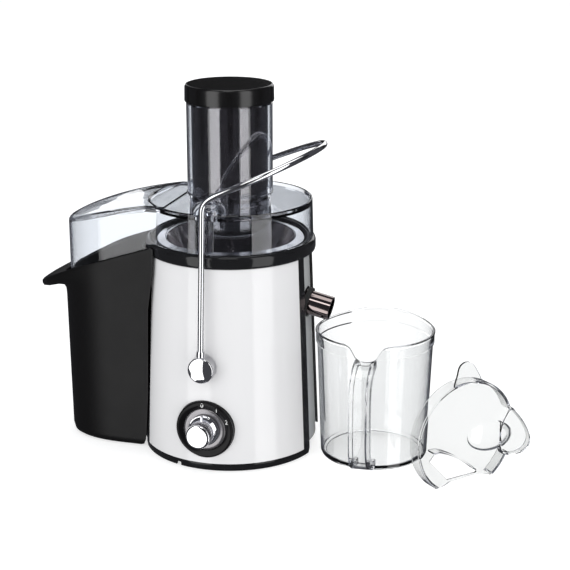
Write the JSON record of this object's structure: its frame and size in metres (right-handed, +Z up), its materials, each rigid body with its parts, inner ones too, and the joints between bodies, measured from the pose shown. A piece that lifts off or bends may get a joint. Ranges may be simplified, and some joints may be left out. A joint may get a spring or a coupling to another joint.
{
  "type": "centrifugal juicer",
  "caption": "Centrifugal juicer with a wide feed tube and pusher, a wire locking arm, a pulp container, and a clear measuring jug with its lid.",
  "frame": {"origin": "on the table, under the middle of the whole set's box; the motor's drive axis stands 52.4 mm towards -X and 5.2 mm towards +Y of it", "axes": "+X from the pulp container to the spout and the jug, -Y towards the knob, +Z up"},
  "size_m": [0.5068, 0.2135, 0.368],
  "materials": {
    "white_gloss": "high gloss moulded",
    "black_gloss": "polished moulded",
    "black_satin": "fine spark-eroded satin",
    "silver_plastic": "silver satin lacquer",
    "bright_steel": "polished stainless",
    "chrome_plate": "mirror plated",
    "smoked_chrome": "smoked mirror plated",
    "clear_plastic": "clear polished moulded",
    "dark_iron": "oiled",
    "copper_wire": "enamelled winding",
    "soft_rubber": "soft matt"
  },
  "bodies": {
    "base": {"front_panel": "white_gloss", "front_frame": "black_gloss", "top_ring": "black_gloss", "knob_bezel": "black_gloss", "rear_cover": "black_satin", "base_plate": "black_satin", "deck": "black_satin", "juice_bowl": "black_satin", "pulp_container": "black_satin", "speed_switch": "black_satin", "interlock_switch": "black_satin", "side_cover": "silver_plastic", "dial_ring": "silver_plastic", "upper_bearing": "bright_steel", "lower_bearing": "bright_steel", "tie_bolt_left": "bright_steel", "tie_bolt_right": "bright_steel", "juice_spout": "smoked_chrome", "lid": "clear_plastic", "stator_core": "dark_iron", "upper_bracket": "dark_iron", "lower_bracket": "dark_iron", "brush_left": "dark_iron", "brush_right": "dark_iron", "base_screw_1": "dark_iron", "base_screw_2": "dark_iron", "base_screw_3": "dark_iron", "upper_winding": "copper_wire", "lower_winding": "copper_wire", "foot_1": "soft_rubber", "foot_2": "soft_rubber", "foot_3": "soft_rubber", "foot_4": "soft_rubber", "damper_1": "soft_rubber", "damper_2": "soft_rubber", "damper_3": "soft_rubber", "shaft_seal": "soft_rubber", "spout_seal": "soft_rubber", "cord_gland": "soft_rubber", "pivot_bush_front": "soft_rubber", "pivot_bush_rear": "soft_rubber"},
    "spinner": {"motor_shaft": "bright_steel", "armature": "dark_iron", "commutator": "copper_wire", "fan": "black_satin", "drive_coupling": "black_satin", "filter_basket": "bright_steel", "grater_disc": "bright_steel", "basket_nut": "bright_steel"},
    "arm": {"locking_arm": "chrome_plate", "pivot_cap_front": "chrome_plate", "pivot_cap_rear": "chrome_plate"},
    "speed_knob": {"knob": "chrome_plate", "knob_shaft": "bright_steel"},
    "plunger": {"pusher": "black_gloss", "pusher_cap": "black_satin"},
    "jug": {"jug": "clear_plastic"},
    "jug_lid": {"jug_lid": "clear_plastic"}
  },
  "joints": [
    {"name": "drive_spin", "type": "hinge", "parent": "base", "child": "spinner", "pos_m": [-0.0524, 0.0052, 0.186], "axis": [0, 0, 1], "continuous": true},
    {"name": "arm_swing", "type": "hinge", "parent": "base", "child": "arm", "pos_m": [-0.0524, 0.0052, 0.107], "axis": [0, 1, 0], "range_deg": [0, 50]},
    {"name": "knob_turn", "type": "hinge", "parent": "base", "child": "speed_knob", "pos_m": [-0.0524, -0.0868, 0.0433], "axis": [0, 1, 0], "range_deg": [0, 70]},
    {"name": "pusher_slide", "type": "slide", "parent": "base", "child": "plunger", "axis": [0, 0, 1], "range_m": [0, 0.13]},
    {"name": "jug_slide", "type": "slide", "parent": "base", "child": "jug", "axis": [0, 1, 0], "range_m": [0, 0.1]},
    {"name": "jug_lid_lift", "type": "slide", "parent": "base", "child": "jug_lid", "axis": [0, 0, 1], "range_m": [0, 0.08]}
  ]
}
